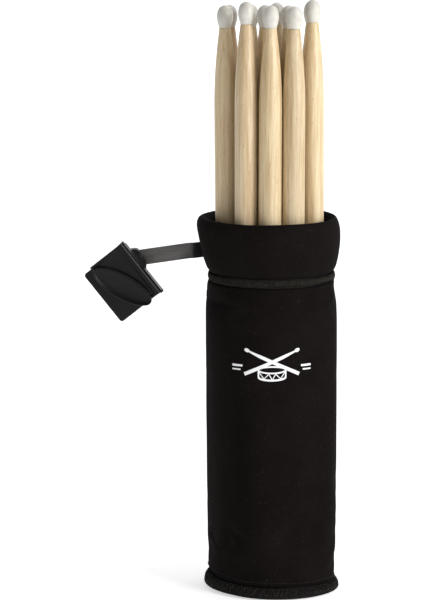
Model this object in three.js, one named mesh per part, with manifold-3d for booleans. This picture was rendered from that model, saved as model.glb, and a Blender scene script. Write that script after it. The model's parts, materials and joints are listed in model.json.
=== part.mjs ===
// A clamp-on drum stick bag: a soft neoprene sleeve over a stiff plastic liner, with a flared collar
// round a steel hoop. A flat steel arm leaves the hoop and carries a sprung clamp that grips a cymbal
// or hi-hat stand. Eleven nylon-tipped sticks stand in it, and each one lifts out.
//
// Millimetres, +Z up, the front towards -Y. The origin is on the underside, on the liner's axis.
import * as THREE from "three";
import { mergeVertices } from "three/addons/utils/BufferGeometryUtils.js";
import Module from "manifold-3d";

const wasm = await Module();
wasm.setup();

// ---- driving dimensions ----
const GAP = 0.3; // air left between pieces that touch
const RING_STEPS = 44; // facets round the bag

// Liner: a stiff tube with a loose floor disc
const LINER_INNER = 40.2;
const LINER_WALL = 0.9;
const LINER_BOTTOM = 3.4;
const LINER_TOP = 258;
const FLOOR_TOP = 6;
const FLOOR_THICK = 2.2;

// Neoprene sleeve, base and collar
const NEOPRENE = 2.1;
const BASE_THICK = 3;
const SLEEVE_BOTTOM = 9.8;
const SLEEVE_TOP = 220.1;
const SLEEVE_RADIUS = 45.5; // at its fullest, near the top
const SQUARING = 0.018; // how far the soft tube is pressed towards a square
const OVALITY = 0.004;
const SQUARE_TURN = THREE.MathUtils.degToRad(163); // direction of one of its four soft corners
const COLLAR_TOP = 264.5;
const COLLAR_LEAN = [0.9, 3]; // the flared collar hangs over on the clamp's side, most at its rim

// Hoop and arm: flat steel strip
const HOOP_INNER = LINER_INNER + LINER_WALL + GAP;
const HOOP_WALL = 1.2;
const HOOP_HEIGHT = 12;
const HOOP_MID_Z = 238.5;
const STRIP_THICK = 1.4;
const STRIP_HEIGHT = 11;
const LEG_START = THREE.MathUtils.degToRad(99); // the arm's inner leg lies on the hoop over these angles
const LEG_END = THREE.MathUtils.degToRad(128);
const ARM_PLANE_Y = 11.95; // middle of the arm's outer leg
const ARM_BEND_RADIUS = 7;
const ARM_DROP = THREE.MathUtils.degToRad(8.3); // the outer leg falls away from the bag by this much
const PIVOT_X = -95.8; // swivel screw, at the arm's far end
const PIVOT_Z = 232.3;

// Clamp, in its own axes: x along the hinge pin, y from the jaws' lips to the handles, z to the back
const FRONT_SPAN = [-3, 41]; // the front half, along the pin
const REAR_SPAN = [0, 43]; // the rear half
const CLAMP_TURN = THREE.MathUtils.degToRad(51.8); // its hinge pin points this far below +X
const SWIVEL_AT = new THREE.Vector2(14.1, 1.85); // swivel axis in clamp x, y
const PIN_Y = 18;
const JAW_CENTRE_Y = 8.2;
const JAW_GRIP = 5.3; // radius of the round space left between the closed pads
const PAD_THICK = 1.2;
const JAW_WALL = 2.2;
const JAW_CORNER = 3.5; // radius of the outside corner along each lip
const HANDLE_END_Y = 37.3;
const PAD_AT = new THREE.Vector2(21, 18.7); // middle of the front handle's thumb pad
const PAD_SLANT = -0.4; // its turn from the pin's direction, radians

// Sticks: a heavy rock size, with a nylon tip on a wooden tenon
const STICK_RADIUS = 7.95;
const STICK_STEPS = 12;
const TIP_LENGTH = 15.8;
const NECK_RADIUS = 4;
const TENON_RADIUS = 2.4;
const TENON_LENGTH = 9;
// Where each stick stands: x and y of its foot, x and y of its tip, and its length. The first five
// are the front row.
const STICKS = [
  [-29.1, -4, -33, -4, 406.6],
  [-17.9, -26.2, -18.3, -26, 411],
  [-2.3, -31.6, -1.4, -31.6, 408.8],
  [13.9, -28.2, 14.8, -28.2, 408],
  [28.9, -13.2, 27.7, -13.2, 411.2],
  [-28.6, 12.8, -29.6, 12.8, 405.6],
  [-13, 1.6, -15, 1.6, 407],
  [-4, -15.2, -5.2, -15.2, 407.8],
  [12.4, -11.6, 11.2, -11.6, 407.2],
  [3.6, 3.2, 3.2, 3.2, 408],
  [28, 3.2, 27.4, 3.2, 409],
];

// ---- materials ----
const plain = (color, roughness, metalness = 0) =>
  new THREE.MeshStandardMaterial({ color, roughness, metalness });
const neoprene = plain(0x151314, 0.95);
const bindingTape = plain(0x34322f, 0.95);
const blackPlastic = plain(0x1b1b1c, 0.45);
const linerPlastic = plain(0x0e0e0f, 0.6);
const blackSteel = plain(0x3d3b3b, 0.5, 0.7);
const brightSteel = plain(0xb9b9bb, 0.3, 1);
const padRubber = plain(0x101010, 0.9);
const mapleWood = plain(0xdcc59b, 0.6);
const nylon = plain(0xe2dfd6, 0.35);

const model = new THREE.Group();

// ---- solids ----
function toSolid(geometry) {
  const bare = geometry.index ? geometry.toNonIndexed() : geometry.clone();
  bare.deleteAttribute("normal");
  bare.deleteAttribute("uv");
  const merged = mergeVertices(bare, 1e-3);
  return new wasm.Manifold(
    new wasm.Mesh({
      numProp: 3,
      vertProperties: merged.attributes.position.array,
      triVerts: new Uint32Array(merged.index.array),
    }),
  );
}

function toGeometry(solid) {
  const mesh = solid.getMesh();
  const geometry = new THREE.BufferGeometry();
  geometry.setAttribute("position", new THREE.BufferAttribute(new Float32Array(mesh.vertProperties), 3));
  geometry.setIndex(new THREE.BufferAttribute(new Uint32Array(mesh.triVerts), 1));
  geometry.computeVertexNormals();
  return geometry;
}

function addPiece(parent, name, geometry, material) {
  const mesh = new THREE.Mesh(geometry, material);
  mesh.name = name;
  parent.add(mesh);
  return mesh;
}

// How far the soft tube stands out of round in a direction: 1 on average.
function softShape(angle, amount) {
  const fromCorner = angle - SQUARE_TURN;
  return 1 + amount * (OVALITY * Math.cos(2 * fromCorner) + SQUARING * Math.cos(4 * fromCorner));
}

// A ring or tube about +Z from a closed [radius, z] outline, listed anticlockwise. pushOut moves each
// corner outwards, by a function of its angle, radius and height.
function ring(outline, pushOut = () => 0, steps = RING_STEPS) {
  const points = [...outline, outline[0]].map(([r, z]) => new THREE.Vector2(r, z));
  const geometry = new THREE.LatheGeometry(points, steps).rotateX(Math.PI / 2);
  const at = geometry.attributes.position;
  for (let i = 0; i < at.count; i++) {
    const radius = Math.hypot(at.getX(i), at.getY(i));
    const angle = Math.atan2(at.getY(i), at.getX(i));
    const grown = radius + pushOut(angle, radius, at.getZ(i));
    at.setXY(i, grown * Math.cos(angle), grown * Math.sin(angle));
  }
  return geometry;
}

// A turned piece about +Z from an open [radius, z] outline that starts and ends on the axis.
function turned(outline, steps) {
  const points = outline.map(([r, z]) => new THREE.Vector2(r, z));
  return new THREE.LatheGeometry(points, steps).rotateX(Math.PI / 2);
}

const soften = (amount) => (angle, radius) => radius * (softShape(angle, amount) - 1);

// A rod along x, y or z, centred at a point.
function rod(radius, length, along, centre, steps = 20) {
  const geometry = new THREE.CylinderGeometry(radius, radius, length, steps);
  if (along === "x") geometry.rotateZ(Math.PI / 2);
  if (along === "z") geometry.rotateX(Math.PI / 2);
  return geometry.translate(...centre);
}

// A flat outline given a depth along +Z.
function extruded(outline, depth, curveSegments) {
  return new THREE.ExtrudeGeometry(outline, { depth, bevelEnabled: false, curveSegments });
}

function block(size, centre) {
  return new THREE.BoxGeometry(...size).translate(...centre);
}

// ---- liner ----
function makeLiner() {
  const outer = LINER_INNER + LINER_WALL;
  const wall = [
    [LINER_INNER, LINER_BOTTOM],
    [outer, LINER_BOTTOM],
    [outer, LINER_TOP],
    [LINER_INNER, LINER_TOP],
  ];
  let tube = toSolid(ring(wall));
  RIVET_ANGLES.forEach((angle) => {
    tube = tube.subtract(rivetHole(angle));
  });
  addPiece(model, "liner_tube", toGeometry(tube), linerPlastic);
  const floorRadius = LINER_INNER - GAP;
  const floor = [
    [0, FLOOR_TOP - FLOOR_THICK],
    [floorRadius, FLOOR_TOP - FLOOR_THICK],
    [floorRadius, FLOOR_TOP],
    [0, FLOOR_TOP],
  ];
  addPiece(model, "liner_floor", turned(floor, RING_STEPS), linerPlastic);
}

// ---- sleeve, base and their binding ----
function makeSleeve() {
  const top = SLEEVE_RADIUS - 1.5;
  const foot = SLEEVE_RADIUS - 1.3;
  const outline = [
    [foot - NEOPRENE, SLEEVE_BOTTOM],
    [foot, SLEEVE_BOTTOM],
    [foot + 0.5, 70],
    [SLEEVE_RADIUS, 185],
    [SLEEVE_RADIUS - 0.4, 206],
    [top, SLEEVE_TOP],
    [top - NEOPRENE, SLEEVE_TOP],
    [SLEEVE_RADIUS - 0.4 - NEOPRENE, 206],
    [SLEEVE_RADIUS - NEOPRENE, 185],
    [foot + 0.5 - NEOPRENE, 70],
  ];
  // The squaring fades out towards the collar, which the hoop holds round.
  const shape = (angle, radius, z) => radius * (softShape(angle, z > SLEEVE_TOP - 1 ? 0.5 : 1) - 1);
  addPiece(model, "neoprene_sleeve", ring(outline, shape), neoprene);

  const baseRadius = foot - 2.6;
  const base = [
    [0, 0],
    [baseRadius, 0],
    [baseRadius, BASE_THICK],
    [0, BASE_THICK],
  ];
  addPiece(model, "base_pad", turned(base, RING_STEPS), neoprene);

  const lip = [
    [foot - 1.3, 0.4],
    [foot + 1.3, 1.2],
    [foot + 2.5, 4.2],
    [foot + 2.2, 7.4],
    [foot + 0.6, 9.4],
    [foot - 2, 9.4],
    [foot - 2, BASE_THICK + 0.5],
    [foot - 1.3, BASE_THICK + 0.5],
  ];
  addPiece(model, "base_binding", ring(lip, soften(1)), bindingTape);
}

// ---- hoop, arm and rivets ----
const HOOP_OUTER = HOOP_INNER + HOOP_WALL;
const LEG_MID = HOOP_OUTER + GAP + STRIP_THICK / 2;
const RIVET_ANGLES = [105, 119].map(THREE.MathUtils.degToRad);
const RIVET_SHANK = 1.4;

// The arm's middle line in plan: round the hoop, off along a tangent, and a bend into the plane of the
// outer leg.
function armBend() {
  const leave = new THREE.Vector2(Math.cos(LEG_END), Math.sin(LEG_END)).multiplyScalar(LEG_MID);
  const heading = new THREE.Vector2(-Math.sin(LEG_END), Math.cos(LEG_END));
  const turn = Math.atan2(-heading.y, -heading.x);
  const setback = ARM_BEND_RADIUS * Math.tan(turn / 2);
  const run = (leave.y - ARM_PLANE_Y) / -heading.y;
  const corner = leave.clone().addScaledVector(heading, run);
  const centre = new THREE.Vector2(corner.x - setback, ARM_PLANE_Y + ARM_BEND_RADIUS);
  return { leave, turn, centre };
}

// The strip's plan outline, grown by extra on each side for cutting its clearance.
function armPlan(extra) {
  const half = STRIP_THICK / 2 + extra;
  const { turn, centre } = armBend();
  const away = LEG_START - extra / LEG_MID;
  const plan = new THREE.Shape();
  plan.moveTo((LEG_MID + half) * Math.cos(away), (LEG_MID + half) * Math.sin(away));
  plan.absarc(0, 0, LEG_MID + half, away, LEG_END, false);
  plan.absarc(centre.x, centre.y, ARM_BEND_RADIUS - half, -Math.PI / 2 + turn, -Math.PI / 2, true);
  plan.absarc(centre.x, centre.y, ARM_BEND_RADIUS + half, -Math.PI / 2, -Math.PI / 2 + turn, false);
  plan.absarc(0, 0, LEG_MID - half, LEG_END, away, true);
  plan.closePath();
  return plan;
}

function armSolid(extra) {
  const height = STRIP_HEIGHT + 2 * extra;
  const legs = extruded(armPlan(extra), height, 10).translate(0, 0, HOOP_MID_Z - height / 2);
  const bendX = armBend().centre.x;
  const reach = (bendX - PIVOT_X) / Math.cos(ARM_DROP);
  // The outer leg's profile in the XZ plane: a bar with a round end at the swivel
  const bar = new THREE.Shape();
  bar.moveTo(0.6, -height / 2);
  bar.lineTo(0.6, height / 2);
  bar.lineTo(-reach, height / 2);
  bar.absarc(-reach, 0, height / 2, Math.PI / 2, Math.PI * 1.5, false);
  bar.closePath();
  const thick = STRIP_THICK + 2 * extra;
  const outer = extruded(bar, thick, 10);
  outer.translate(0, 0, -thick / 2).rotateX(Math.PI / 2).rotateY(-ARM_DROP);
  outer.translate(bendX, ARM_PLANE_Y, HOOP_MID_Z);
  return toSolid(legs).add(toSolid(outer));
}

function rivetHole(angle) {
  const hole = rod(RIVET_SHANK + GAP, 12, "x", [HOOP_INNER, 0, HOOP_MID_Z], 12);
  return toSolid(hole.rotateZ(angle));
}

// A rivet through the liner, the hoop and the arm's inner leg, at an angle round the bag.
function rivetSolid(angle, extra) {
  const from = LINER_INNER - GAP - 0.9 - extra;
  const to = LEG_MID + STRIP_THICK / 2 + GAP + 1.1 + extra;
  const headIn = rod(2.4 + extra, 0.9 + 2 * extra, "x", [from + 0.45 + extra, 0, 0], 12);
  const headOut = rod(2.9 + extra, 1.1 + 2 * extra, "x", [to - 0.55 - extra, 0, 0], 12);
  const shank = rod(RIVET_SHANK + extra, to - from - 0.4, "x", [(from + to) / 2, 0, 0], 12);
  const whole = toSolid(headIn).add(toSolid(headOut)).add(toSolid(shank));
  return toSolid(toGeometry(whole).rotateZ(angle).translate(0, 0, HOOP_MID_Z));
}

function makeHoopAndArm() {
  const low = HOOP_MID_Z - HOOP_HEIGHT / 2;
  const high = HOOP_MID_Z + HOOP_HEIGHT / 2;
  let hoop = toSolid(ring([[HOOP_INNER, low], [HOOP_OUTER, low], [HOOP_OUTER, high], [HOOP_INNER, high]]));
  let arm = armSolid(0);
  RIVET_ANGLES.forEach((angle, i) => {
    hoop = hoop.subtract(rivetHole(angle));
    arm = arm.subtract(rivetHole(angle));
    addPiece(model, `hoop_rivet_${i + 1}`, toGeometry(rivetSolid(angle, 0)), blackSteel);
  });
  arm = arm.subtract(toSolid(rod(2.3, 10, "y", [PIVOT_X, ARM_PLANE_Y, PIVOT_Z], 20)));
  addPiece(model, "collar_hoop", toGeometry(hoop), blackSteel);
  addPiece(model, "arm_strip", toGeometry(arm), blackSteel);
}

// ---- collar: two layers of neoprene, folded over at the rim, with the hoop behind them ----
function makeCollar() {
  const outline = [
    [42.9, 226.6],
    [44.2, 226.3],
    [46.3, 232],
    [47.5, 239],
    [48.4, 245],
    [49.5, 252],
    [49.9, 257.5],
    [49.5, 261.5],
    [48, 263.9],
    [46, COLLAR_TOP],
    [43.6, 263.8],
    [42, 261.6],
    [41.4, 258],
    [41.4, 246.1],
    [42.9, 246.1],
  ];
  // Only the outer wall leans over; the inner wall follows the round liner.
  const lean = (angle, radius, z) => {
    const reach = THREE.MathUtils.lerp(...COLLAR_LEAN, THREE.MathUtils.smoothstep(z, 245, 262));
    return radius > 44 ? -reach * Math.cos(angle) : 0;
  };
  let collar = toSolid(ring(outline, lean));
  collar = collar.subtract(armSolid(0.35));
  RIVET_ANGLES.forEach((angle) => {
    collar = collar.subtract(rivetSolid(angle, 0.35));
  });
  addPiece(model, "collar", toGeometry(collar), neoprene);

  const band = [
    [42.2, 220.6],
    [44.2, 220.5],
    [45.1, 221.8],
    [45.2, 224],
    [44.2, 225.8],
    [42.2, 226],
  ];
  addPiece(model, "collar_binding", ring(band), bindingTape);
}

// ---- clamp ----
// Clamp axes to the bag's axes: its hinge pin runs down to the right, and its back faces +Y.
const clamp = new THREE.Group();
const hingeWay = new THREE.Vector3(Math.cos(CLAMP_TURN), 0, -Math.sin(CLAMP_TURN));
const handleWay = new THREE.Vector3(-Math.sin(CLAMP_TURN), 0, -Math.cos(CLAMP_TURN));
clamp.quaternion.setFromRotationMatrix(
  new THREE.Matrix4().makeBasis(hingeWay, handleWay, new THREE.Vector3(0, 1, 0)),
);
clamp.position
  .set(PIVOT_X, 0, PIVOT_Z)
  .addScaledVector(hingeWay, -SWIVEL_AT.x)
  .addScaledVector(handleWay, -SWIVEL_AT.y);
model.add(clamp);

// A bar along the clamp's x axis from a closed outline in its y, z plane.
function alongPin(outline, from, to, curveSegments = 8) {
  const geometry = extruded(outline, to - from, curveSegments);
  const turn = new THREE.Matrix4().makeBasis(
    new THREE.Vector3(0, 1, 0),
    new THREE.Vector3(0, 0, 1),
    new THREE.Vector3(1, 0, 0),
  );
  return geometry.applyMatrix4(turn).translate(from, 0, 0);
}

const JAW_INNER = JAW_GRIP + PAD_THICK + GAP;
const JAW_OUTER = JAW_INNER + JAW_WALL;

// One jaw: a half-round grip inside a squarish outside, and its handle plate running back from it.
// side is 1 for the rear half and -1 for the front one.
function jawProfile(side, plateEnd, plateLift) {
  const shape = new THREE.Shape();
  const lip = GAP / 2 / JAW_INNER + 0.02;
  const start = Math.PI - side * lip;
  const leave = side * Math.PI * 0.36;
  const leaveY = JAW_CENTRE_Y + JAW_INNER * Math.cos(leave);
  const front = JAW_CENTRE_Y - JAW_OUTER;
  const cornerZ = side * (JAW_OUTER - JAW_CORNER);
  shape.moveTo(front, side * 0.3);
  shape.lineTo(front, cornerZ);
  shape.absarc(front + JAW_CORNER, cornerZ, JAW_CORNER, Math.PI, side * (Math.PI / 2), side > 0);
  shape.lineTo(PIN_Y, side * JAW_OUTER);
  shape.lineTo(plateEnd, side * (JAW_OUTER + plateLift));
  shape.lineTo(plateEnd, side * (JAW_OUTER + plateLift - JAW_WALL));
  shape.lineTo(leaveY + 2.4, side * (JAW_INNER + 0.1));
  shape.lineTo(leaveY, JAW_INNER * Math.sin(leave));
  shape.absarc(JAW_CENTRE_Y, 0, JAW_INNER, leave, start, side < 0);
  shape.closePath();
  return shape;
}

// A hinge ear: a round eye on the pin with a web to its half's plate.
function ear(side, from, to) {
  const middle = (from + to) / 2;
  const eye = rod(3.3, to - from, "x", [middle, PIN_Y, 0], 16);
  const web = block([to - from, 5, JAW_OUTER - 1], [middle, PIN_Y, side * ((JAW_OUTER - 1) / 2)]);
  const hole = rod(1.5 + GAP, 60, "x", [middle, PIN_Y, 0], 16);
  return toSolid(eye).add(toSolid(web)).subtract(toSolid(hole));
}

// The swivel block's outline in clamp x, y: it stands out past the jaw's lip in a stepped curve.
function swivelBlock() {
  const shape = new THREE.Shape();
  shape.moveTo(5.8, 8.6);
  shape.lineTo(5.8, -0.6);
  shape.quadraticCurveTo(7.4, -4.6, 10, -4.7);
  shape.bezierCurveTo(12, -4.7, 12.2, -3.1, 15.2, -3.2);
  shape.bezierCurveTo(19.6, -3.6, 20.4, -3.6, 23.2, -0.8);
  shape.lineTo(23.2, 8.6);
  shape.closePath();
  return extruded(shape, 8.2, 6).translate(0, 0, 2.3);
}

function makeRearJaw() {
  let jaw = toSolid(alongPin(jawProfile(1, HANDLE_END_Y, 0.4), ...REAR_SPAN));
  [[7.5, 10.5], [30.5, 33.5]].forEach(([from, to]) => {
    jaw = jaw.add(ear(1, from, to));
  });
  // Rounded corners on the handle plate
  [[REAR_SPAN[0], 1], [REAR_SPAN[1], -1]].forEach(([x, inwards]) => {
    const corner = block([4, 4, 8], [x, HANDLE_END_Y, JAW_OUTER]);
    const round = rod(2, 9, "z", [x + 2 * inwards, HANDLE_END_Y - 2, JAW_OUTER]);
    jaw = jaw.subtract(toSolid(corner).subtract(toSolid(round)));
  });
  // Grip ribs across the handle's back
  for (let x = 6; x <= 37; x += 3.1) {
    jaw = jaw.add(toSolid(block([1, 7, 1], [x, HANDLE_END_Y - 5.5, JAW_OUTER + 0.6])));
  }
  const clearGrip = rod(JAW_INNER, 60, "x", [20, JAW_CENTRE_Y, 0], 32);
  jaw = jaw.add(toSolid(swivelBlock()).subtract(toSolid(clearGrip)));
  jaw = jaw.subtract(toSolid(rod(2 + GAP, 8, "z", [SWIVEL_AT.x, SWIVEL_AT.y, 8.5], 16)));
  addPiece(clamp, "rear_jaw", toGeometry(jaw), blackPlastic);
}

// The front half's thumb pad: a dished oval set slantwise across the handle.
function thumbPad() {
  const across = new THREE.Shape();
  across.absellipse(0, 0, 23.2, 8.6, 0, 2 * Math.PI, false, 0);
  const oval = extruded(across, 3.4, 16);
  const dish = new THREE.SphereGeometry(1, 32, 16).scale(22.2, 7.7, 2.6);
  const slant = (g) => g.rotateZ(PAD_SLANT).rotateX(0.12).translate(PAD_AT.x, PAD_AT.y, -12.6);
  return toSolid(slant(oval)).subtract(toSolid(slant(dish)));
}

function makeFrontJaw() {
  let jaw = toSolid(alongPin(jawProfile(-1, 30, 0), ...FRONT_SPAN));
  // The panel is sunk a little inside a rim along its outer edges.
  const [from, to] = FRONT_SPAN;
  const panel = block([to - from - 3.6, 40, 0.9], [(from + to) / 2, 24, -JAW_OUTER]);
  jaw = jaw.subtract(toSolid(panel));
  // The handle plate stops along the oval's slant.
  const cut = block([80, 30, 20], [0, 15, 0]).rotateZ(PAD_SLANT).translate(PAD_AT.x, PAD_AT.y, -10);
  jaw = jaw.subtract(toSolid(cut)).add(thumbPad());
  [[11, 14], [27, 30]].forEach(([from, to]) => {
    jaw = jaw.add(ear(-1, from, to));
  });
  addPiece(clamp, "front_jaw", toGeometry(jaw), blackPlastic);
}

// A soft pad lining half of the grip. side is 1 for the rear jaw.
function makePad(name, side) {
  const lip = Math.asin(GAP / 2 / JAW_GRIP) + 0.03;
  const end = Math.PI * 0.36;
  const shape = new THREE.Shape();
  const start = side > 0 ? Math.PI - lip : Math.PI + lip;
  const stop = side * end;
  const outer = JAW_GRIP + PAD_THICK;
  shape.moveTo(JAW_CENTRE_Y + outer * Math.cos(start), outer * Math.sin(start));
  shape.absarc(JAW_CENTRE_Y, 0, outer, start, stop, side > 0);
  shape.absarc(JAW_CENTRE_Y, 0, JAW_GRIP, stop, start, side < 0);
  shape.closePath();
  addPiece(clamp, name, alongPin(shape, 1.5, 39.5), padRubber);
}

// Torsion spring: a coil round the pin whose legs push the handles apart.
function makeSpring() {
  const wire = 0.65;
  const coil = 3.1;
  const steps = 20; // eighths of a turn: two and a half turns
  const [from, to] = [17, 24];
  const points = [
    new THREE.Vector3(from, PIN_Y + 9, coil + 2.6),
    new THREE.Vector3(from, PIN_Y + 4, coil + 0.5),
  ];
  for (let i = 0; i <= steps; i++) {
    const angle = Math.PI / 2 + (i / 8) * 2 * Math.PI;
    const along = from + ((to - from) * i) / steps;
    points.push(new THREE.Vector3(along, PIN_Y + coil * Math.cos(angle), coil * Math.sin(angle)));
  }
  points.push(new THREE.Vector3(to, PIN_Y + 4, -coil - 0.5), new THREE.Vector3(to, PIN_Y + 9, -coil - 2.6));
  const path = new THREE.CatmullRomCurve3(points);
  const section = new THREE.Shape();
  section.absarc(0, 0, wire, 0, 2 * Math.PI, false);
  const geometry = new THREE.ExtrudeGeometry(section, { steps: 72, extrudePath: path, curveSegments: 3 });
  addPiece(clamp, "torsion_spring", geometry, brightSteel);
}

function makeClampFasteners() {
  addPiece(clamp, "hinge_pin", rod(1.5, 27.4, "x", [20.5, PIN_Y, 0], 16), brightSteel);
  [5.2, 35.8].forEach((x, i) => {
    const clip = rod(3, 1.1, "x", [x + (i ? -0.4 : 0.4), PIN_Y, 0], 16);
    addPiece(clamp, `pin_cap_${i + 1}`, clip, brightSteel);
  });
  const [x, y] = [SWIVEL_AT.x, SWIVEL_AT.y];
  const washer = (radius, thick, z) =>
    toSolid(rod(radius, thick, "z", [x, y, z], 24)).subtract(toSolid(rod(2.3, 4, "z", [x, y, z], 16)));
  addPiece(clamp, "spring_washer", toGeometry(washer(4.6, 0.35, 10.9)), brightSteel);
  addPiece(model, "flat_washer", placedOnModel(washer(4.8, 0.8, 13.4)), brightSteel);
  const head = toSolid(rod(3.8, 2.4, "z", [x, y, 15.35], 20));
  const slots = toSolid(block([4.6, 1, 1.6], [x, y, 16.2])).add(toSolid(block([1, 4.6, 1.6], [x, y, 16.2])));
  const shank = toSolid(rod(2, 9.4, "z", [x, y, 9.8], 16));
  addPiece(clamp, "swivel_screw", toGeometry(head.add(shank).subtract(slots)), brightSteel);
}

// Clamp solids that stay with the arm are put in the bag's axes.
function placedOnModel(solid) {
  clamp.updateMatrixWorld(true);
  return toGeometry(solid).applyMatrix4(clamp.matrixWorld);
}

// ---- sticks ----
// A wooden shaft with a rounded butt, a long taper and a tenon, and the nylon tip that fits over it.
function makeStick(index) {
  const [x, y, tipX, tipY, length] = STICKS[index];
  const foot = FLOOR_TOP + GAP;
  const seat = length - TIP_LENGTH; // where the wood ends and the tip begins
  const shaft = [
    [0, 0],
    [5.6, 0],
    [STICK_RADIUS, 2.6],
    [STICK_RADIUS, length - 70],
    [7.1, length - 46],
    [5.8, length - 31],
    [4.6, length - 20],
    [NECK_RADIUS, seat],
    [TENON_RADIUS, seat],
    [TENON_RADIUS, seat + TENON_LENGTH],
    [0, seat + TENON_LENGTH],
  ];
  const bore = TENON_RADIUS + GAP;
  const tip = [
    [0, seat + TENON_LENGTH + GAP],
    [bore, seat + TENON_LENGTH + GAP],
    [bore, seat + GAP],
    [NECK_RADIUS, seat + GAP],
    [4.5, seat + 2],
    [5.4, seat + 5],
    [5.65, seat + 8],
    [5.1, seat + 11.3],
    [3.9, seat + 13.8],
    [2.2, length - 0.4],
    [0, length],
  ];
  const stick = new THREE.Group();
  stick.position.set(x, y, foot);
  stick.quaternion.setFromUnitVectors(
    new THREE.Vector3(0, 0, 1),
    new THREE.Vector3(tipX - x, tipY - y, length).normalize(),
  );
  model.add(stick);
  const name = `stick_${String(index + 1).padStart(2, "0")}`;
  addPiece(stick, `${name}_shaft`, turned(shaft, STICK_STEPS), mapleWood);
  addPiece(stick, `${name}_tip`, turned(tip, STICK_STEPS), nylon);
}

makeLiner();
makeSleeve();
makeHoopAndArm();
makeCollar();
makeRearJaw();
makeFrontJaw();
makePad("rear_jaw_pad", 1);
makePad("front_jaw_pad", -1);
makeSpring();
makeClampFasteners();
STICKS.forEach((_, index) => makeStick(index));

export default model;
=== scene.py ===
"""Looks of a clamp-on drum stick bag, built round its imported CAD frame. Metres, +Z up, front towards -Y."""
import json
import math
import random

import bmesh
import bpy
from mathutils import Matrix, Vector, noise
from mathutils.bvhtree import BVHTree


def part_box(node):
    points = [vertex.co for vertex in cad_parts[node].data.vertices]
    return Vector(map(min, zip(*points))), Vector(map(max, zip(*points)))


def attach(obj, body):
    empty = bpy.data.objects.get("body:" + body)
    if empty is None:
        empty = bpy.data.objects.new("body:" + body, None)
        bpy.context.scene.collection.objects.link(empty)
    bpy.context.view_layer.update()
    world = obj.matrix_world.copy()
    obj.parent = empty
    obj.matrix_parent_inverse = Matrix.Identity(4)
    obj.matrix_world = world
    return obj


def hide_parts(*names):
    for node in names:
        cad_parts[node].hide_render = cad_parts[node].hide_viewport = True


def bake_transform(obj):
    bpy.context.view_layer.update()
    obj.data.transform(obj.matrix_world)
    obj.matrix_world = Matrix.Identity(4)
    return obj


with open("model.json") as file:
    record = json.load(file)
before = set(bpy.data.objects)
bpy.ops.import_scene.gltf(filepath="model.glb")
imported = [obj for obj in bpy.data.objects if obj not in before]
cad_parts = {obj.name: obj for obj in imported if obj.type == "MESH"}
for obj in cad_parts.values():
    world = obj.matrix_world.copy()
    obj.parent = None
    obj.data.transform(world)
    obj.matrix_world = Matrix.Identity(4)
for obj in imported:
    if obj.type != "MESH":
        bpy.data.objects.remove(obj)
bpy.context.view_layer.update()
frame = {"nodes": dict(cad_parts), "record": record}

MM = 0.001
nodes = frame["nodes"]
joints = {joint["name"]: joint for joint in frame["record"]["behaviour"]["joints"]}
scene = bpy.context.scene


# ---------------------------------------------------------------- camera, light, floor
def place_camera():
    """Level with the collar and a little above it, far back, so that the object is nearly flat-on."""
    distance = 2.4
    elevation = math.radians(9.6)
    target = Vector((-0.0418, 0, 0.205))
    long_side = 0.4225  # what the frame's long side takes in at the target
    sensor = 36
    camera = bpy.data.objects.new("camera", bpy.data.cameras.new("camera"))
    camera.data.sensor_width = sensor
    camera.data.lens = sensor * distance / long_side
    camera.data.clip_end = 50
    camera.location = target + distance * Vector((0, -math.cos(elevation), math.sin(elevation)))
    camera.rotation_euler = (target - camera.location).to_track_quat("-Z", "Y").to_euler()
    scene.collection.objects.link(camera)
    scene.camera = camera


def add_area(name, location, aim, size, power):
    """A soft box: metres and watts, turned towards aim."""
    light = bpy.data.lights.new(name, "AREA")
    light.shape = "RECTANGLE"
    light.size, light.size_y = size
    light.energy = power
    lamp = bpy.data.objects.new(name, light)
    lamp.location = location
    lamp.rotation_euler = (Vector(aim) - Vector(location)).to_track_quat("-Z", "Y").to_euler()
    scene.collection.objects.link(lamp)


def place_lights():
    """A key light from the right, a weak one overhead, and one on the floor far behind the object."""
    add_area("key", (1.5, -1.2, 0.9), (0, 0, 0.2), (0.8, 1.3), 32)
    add_area("top", (0.5, 0.2, 2.0), (0, 0, 0.2), (0.9, 0.9), 9)
    add_area("far_floor", (0, 5, 3.2), (0, 4.6, 0), (9, 5), 240)
    scene.view_settings.view_transform = "Standard"


def place_world():
    """White light from every side, strong near the horizon and weak overhead."""
    near_horizon, overhead = (0.16, 0.86), (0.34, 0.13)  # sine of the height, strength
    world = bpy.data.worlds.new("studio")
    world.use_nodes = True
    tree = world.node_tree
    place = tree.nodes.new("ShaderNodeTexCoord")
    split = tree.nodes.new("ShaderNodeSeparateXYZ")
    level = tree.nodes.new("ShaderNodeMath")
    level.operation = "ABSOLUTE"
    shade = tree.nodes.new("ShaderNodeMapRange")
    shade.inputs["From Min"].default_value, shade.inputs["To Min"].default_value = near_horizon
    shade.inputs["From Max"].default_value, shade.inputs["To Max"].default_value = overhead
    background = tree.nodes["Background"]
    background.inputs["Color"].default_value = (1, 1, 1, 1)
    tree.links.new(place.outputs["Generated"], split.inputs["Vector"])
    tree.links.new(split.outputs["Z"], level.inputs[0])
    tree.links.new(level.outputs[0], shade.inputs["Value"])
    tree.links.new(shade.outputs["Result"], background.inputs["Strength"])
    scene.world = world


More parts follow.
